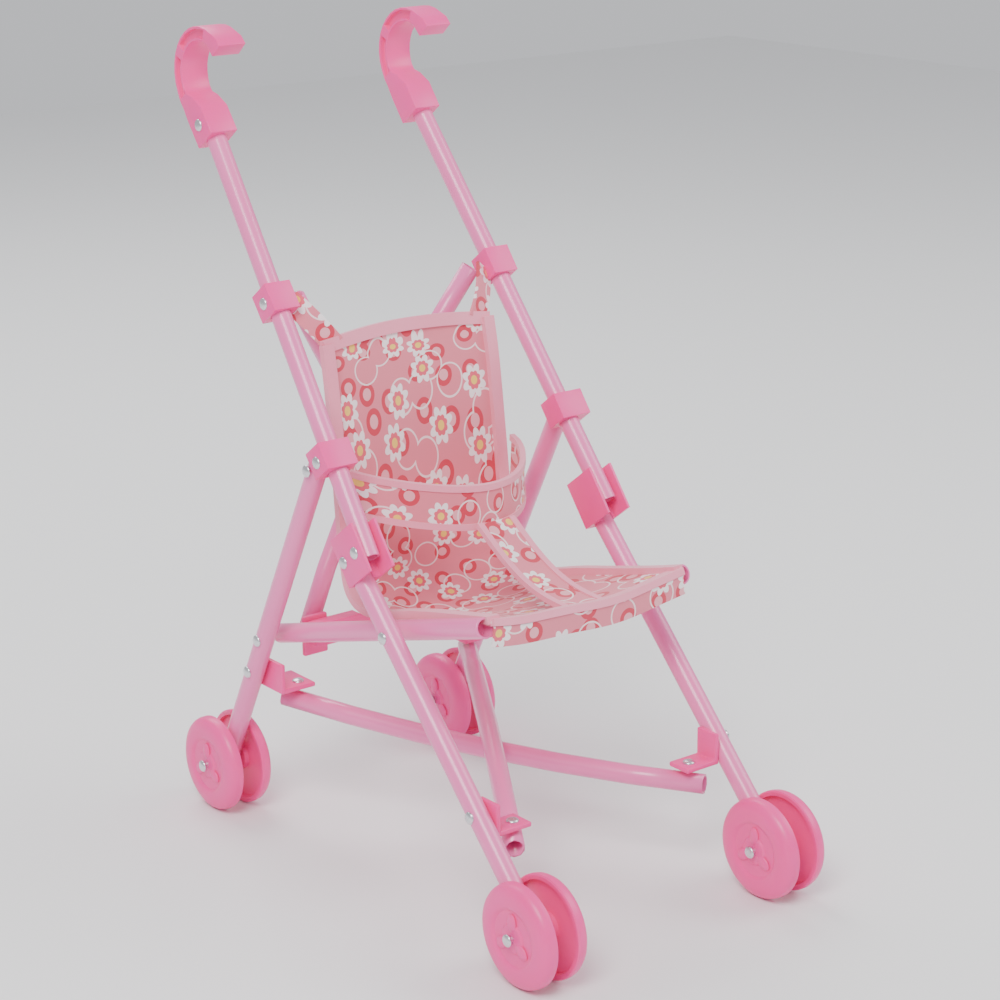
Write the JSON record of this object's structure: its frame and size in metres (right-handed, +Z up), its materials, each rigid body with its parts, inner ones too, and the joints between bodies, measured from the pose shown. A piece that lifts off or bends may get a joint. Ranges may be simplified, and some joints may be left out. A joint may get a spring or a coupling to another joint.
{
  "type": "doll stroller",
  "caption": "Folding umbrella doll stroller with hook handles, steel tube frame, cross braces, twin wheels and a fabric sling seat.",
  "frame": {"origin": "centre of the footprint on the ground, midway between the wheels' outermost points and the hooks", "axes": "+Z up, front of the stroller faces -Y, left side is -X"},
  "size_m": [0.2224, 0.3916, 0.4943],
  "materials": {
    "painted_tube": "satin",
    "moulded_plastic": "gloss",
    "bare_steel": "satin",
    "printed_fabric": "woven"
  },
  "bodies": {
    "seat": {"seat_sling": "printed_fabric"},
    "seat_side_left": {"seat_side_tube_left": "painted_tube"},
    "front_leg_left": {"front_leg_left": "painted_tube", "latch_left": "moulded_plastic", "front_axle_left": "bare_steel"},
    "handle_left": {"handle_tube_left": "painted_tube", "hook_grip_left": "moulded_plastic", "handle_clip_left": "moulded_plastic", "side_bracket_left": "moulded_plastic"},
    "rear_leg_left": {"rear_leg_left": "painted_tube", "rear_axle_left": "bare_steel"},
    "front_wheel_outer_left": {"front_wheel_outer_left": "moulded_plastic"},
    "front_wheel_inner_left": {"front_wheel_inner_left": "moulded_plastic"},
    "rear_wheel_outer_left": {"rear_wheel_outer_left": "moulded_plastic"},
    "rear_wheel_inner_left": {"rear_wheel_inner_left": "moulded_plastic"},
    "front_brace_bracket_left": {"lower_bracket_front_left": "moulded_plastic"},
    "rear_brace_bracket_left": {"lower_bracket_rear_left": "moulded_plastic"},
    "lower_brace_left_to_right": {"lower_brace_left_to_right": "painted_tube"},
    "brace_foot_left": {"upper_brace_foot_left": "moulded_plastic"},
    "upper_brace_right_to_left": {"upper_brace_right_to_left": "painted_tube"},
    "strut_left": {"rear_strut_left": "moulded_plastic"},
    "seat_side_right": {"seat_side_tube_right": "painted_tube"},
    "front_leg_right": {"front_leg_right": "painted_tube", "latch_right": "moulded_plastic", "front_axle_right": "bare_steel"},
    "handle_right": {"handle_tube_right": "painted_tube", "hook_grip_right": "moulded_plastic", "handle_clip_right": "moulded_plastic", "side_bracket_right": "moulded_plastic"},
    "rear_leg_right": {"rear_leg_right": "painted_tube", "rear_axle_right": "bare_steel"},
    "front_wheel_outer_right": {"front_wheel_outer_right": "moulded_plastic"},
    "front_wheel_inner_right": {"front_wheel_inner_right": "moulded_plastic"},
    "rear_wheel_outer_right": {"rear_wheel_outer_right": "moulded_plastic"},
    "rear_wheel_inner_right": {"rear_wheel_inner_right": "moulded_plastic"},
    "front_brace_bracket_right": {"lower_bracket_front_right": "moulded_plastic"},
    "rear_brace_bracket_right": {"lower_bracket_rear_right": "moulded_plastic"},
    "lower_brace_right_to_left": {"lower_brace_right_to_left": "painted_tube"},
    "brace_foot_right": {"upper_brace_foot_right": "moulded_plastic"},
    "upper_brace_left_to_right": {"upper_brace_left_to_right": "painted_tube"},
    "strut_right": {"rear_strut_right": "moulded_plastic"}
  },
  "joints": [
    {"name": "seat_side_slide_left", "type": "slide", "parent": "seat", "child": "seat_side_left", "axis": [1, 0, 0], "range_m": [0, 0.04601]},
    {"name": "front_leg_fold_left", "type": "hinge", "parent": "seat_side_left", "child": "front_leg_left", "pos_m": [-0.084, -0.03239, 0.16862], "axis": [1, 0, 0], "range_deg": [-72.35, 0]},
    {"name": "frame_fold", "type": "hinge", "parent": "front_leg_left", "child": "handle_left", "pos_m": [-0.09, -0.00769, 0.21478], "axis": [1, 0, 0], "range_deg": [0, 150], "deforming": ["seat_sling"]},
    {"name": "rear_leg_fold_left", "type": "hinge", "parent": "handle_left", "child": "rear_leg_left", "pos_m": [-0.092, 0.03905, 0.25404], "axis": [1, 0, 0], "range_deg": [-51.79, 0]},
    {"name": "front_wheel_outer_left_spin", "type": "hinge", "parent": "front_leg_left", "child": "front_wheel_outer_left", "pos_m": [-0.105, -0.16483, 0.031], "axis": [1, 0, 0], "continuous": true},
    {"name": "front_wheel_inner_left_spin", "type": "hinge", "parent": "front_leg_left", "child": "front_wheel_inner_left", "pos_m": [-0.079, -0.16483, 0.031], "axis": [1, 0, 0], "continuous": true},
    {"name": "rear_wheel_outer_left_spin", "type": "hinge", "parent": "rear_leg_left", "child": "rear_wheel_outer_left", "pos_m": [-0.105, 0.15417, 0.031], "axis": [1, 0, 0], "continuous": true},
    {"name": "rear_wheel_inner_left_spin", "type": "hinge", "parent": "rear_leg_left", "child": "rear_wheel_inner_left", "pos_m": [-0.079, 0.15417, 0.031], "axis": [1, 0, 0], "continuous": true},
    {"name": "front_brace_bracket_turn_left", "type": "hinge", "parent": "front_leg_left", "child": "front_brace_bracket_left", "pos_m": [-0.084, -0.11421, 0.0836], "axis": [1, 0, 0], "range_deg": [0, 44.93]},
    {"name": "rear_brace_bracket_turn_left", "type": "hinge", "parent": "rear_leg_left", "child": "rear_brace_bracket_left", "pos_m": [-0.084, 0.11656, 0.10387], "axis": [1, 0, 0], "range_deg": [-53.31, 0]},
    {"name": "lower_brace_left_to_right_turn", "type": "hinge", "parent": "front_brace_bracket_left", "child": "lower_brace_left_to_right", "pos_m": [-0.068, -0.11521, 0.0686], "axis": [0, 0, 1], "range_deg": [0, 21.96]},
    {"name": "brace_foot_turn_left", "type": "hinge", "parent": "rear_leg_left", "child": "brace_foot_left", "pos_m": [-0.084, 0.10391, 0.12839], "axis": [1, 0, 0], "range_deg": [0, 21.73]},
    {"name": "upper_brace_right_to_left_turn", "type": "hinge", "parent": "brace_foot_left", "child": "upper_brace_right_to_left", "pos_m": [-0.058, 0.10791, 0.12439], "axis": [0, -1, 0], "range_deg": [0, 22.06]},
    {"name": "strut_fold_left", "type": "hinge", "parent": "brace_foot_left", "child": "strut_left", "pos_m": [-0.058, 0.09191, 0.12839], "axis": [0, -1, 0], "range_deg": [0, 86.01]},
    {"name": "seat_side_slide_right", "type": "slide", "parent": "seat", "child": "seat_side_right", "axis": [-1, 0, 0], "range_m": [0, 0.04601]},
    {"name": "front_leg_fold_right", "type": "hinge", "parent": "seat_side_right", "child": "front_leg_right", "pos_m": [0.084, -0.03239, 0.16862], "axis": [1, 0, 0], "range_deg": [-72.35, 0]},
    {"name": "handle_fold_right", "type": "hinge", "parent": "front_leg_right", "child": "handle_right", "pos_m": [0.09, -0.00769, 0.21478], "axis": [1, 0, 0], "range_deg": [0, 150.01]},
    {"name": "rear_leg_fold_right", "type": "hinge", "parent": "handle_right", "child": "rear_leg_right", "pos_m": [0.092, 0.03905, 0.25404], "axis": [1, 0, 0], "range_deg": [-51.79, 0]},
    {"name": "front_wheel_outer_right_spin", "type": "hinge", "parent": "front_leg_right", "child": "front_wheel_outer_right", "pos_m": [0.105, -0.16483, 0.031], "axis": [1, 0, 0], "continuous": true},
    {"name": "front_wheel_inner_right_spin", "type": "hinge", "parent": "front_leg_right", "child": "front_wheel_inner_right", "pos_m": [0.079, -0.16483, 0.031], "axis": [1, 0, 0], "continuous": true},
    {"name": "rear_wheel_outer_right_spin", "type": "hinge", "parent": "rear_leg_right", "child": "rear_wheel_outer_right", "pos_m": [0.105, 0.15417, 0.031], "axis": [1, 0, 0], "continuous": true},
    {"name": "rear_wheel_inner_right_spin", "type": "hinge", "parent": "rear_leg_right", "child": "rear_wheel_inner_right", "pos_m": [0.079, 0.15417, 0.031], "axis": [1, 0, 0], "continuous": true},
    {"name": "front_brace_bracket_turn_right", "type": "hinge", "parent": "front_leg_right", "child": "front_brace_bracket_right", "pos_m": [0.084, -0.11421, 0.0836], "axis": [1, 0, 0], "range_deg": [0, 44.93]},
    {"name": "rear_brace_bracket_turn_right", "type": "hinge", "parent": "rear_leg_right", "child": "rear_brace_bracket_right", "pos_m": [0.084, 0.11656, 0.10387], "axis": [1, 0, 0], "range_deg": [-53.31, 0]},
    {"name": "lower_brace_right_to_left_turn", "type": "hinge", "parent": "front_brace_bracket_right", "child": "lower_brace_right_to_left", "pos_m": [0.068, -0.11521, 0.0686], "axis": [0, 0, 1], "range_deg": [-21.96, 0]},
    {"name": "brace_foot_turn_right", "type": "hinge", "parent": "rear_leg_right", "child": "brace_foot_right", "pos_m": [0.084, 0.10391, 0.12839], "axis": [1, 0, 0], "range_deg": [0, 21.73]},
    {"name": "upper_brace_left_to_right_turn", "type": "hinge", "parent": "brace_foot_right", "child": "upper_brace_left_to_right", "pos_m": [0.058, 0.10791, 0.12439], "axis": [0, 1, 0], "range_deg": [0, 22.06]},
    {"name": "strut_fold_right", "type": "hinge", "parent": "brace_foot_right", "child": "strut_right", "pos_m": [0.058, 0.09191, 0.12839], "axis": [0, 1, 0], "range_deg": [0, 86.01]}
  ],
  "couplings": [
    {"joint": "seat_side_slide_left", "follows": "frame_fold", "m_per_rad": 0.017571},
    {"joint": "front_leg_fold_left", "follows": "frame_fold", "ratio": -0.48229},
    {"joint": "rear_leg_fold_left", "follows": "frame_fold", "ratio": -0.34521},
    {"joint": "front_brace_bracket_turn_left", "follows": "frame_fold", "ratio": 0.29944},
    {"joint": "rear_brace_bracket_turn_left", "follows": "frame_fold", "ratio": -0.35535},
    {"joint": "lower_brace_left_to_right_turn", "follows": "frame_fold", "ratio": 0.14632},
    {"joint": "brace_foot_turn_left", "follows": "frame_fold", "ratio": 0.14477},
    {"joint": "upper_brace_right_to_left_turn", "follows": "frame_fold", "ratio": 0.14703},
    {"joint": "strut_fold_left", "follows": "frame_fold", "ratio": 0.57333},
    {"joint": "seat_side_slide_right", "follows": "frame_fold", "m_per_rad": 0.017571},
    {"joint": "front_leg_fold_right", "follows": "frame_fold", "ratio": -0.48229},
    {"joint": "handle_fold_right", "follows": "frame_fold", "ratio": 1},
    {"joint": "rear_leg_fold_right", "follows": "frame_fold", "ratio": -0.34521},
    {"joint": "front_brace_bracket_turn_right", "follows": "frame_fold", "ratio": 0.29944},
    {"joint": "rear_brace_bracket_turn_right", "follows": "frame_fold", "ratio": -0.35535},
    {"joint": "lower_brace_right_to_left_turn", "follows": "frame_fold", "ratio": -0.14632},
    {"joint": "brace_foot_turn_right", "follows": "frame_fold", "ratio": 0.14477},
    {"joint": "upper_brace_left_to_right_turn", "follows": "frame_fold", "ratio": 0.14703},
    {"joint": "strut_fold_right", "follows": "frame_fold", "ratio": 0.57333}
  ]
}
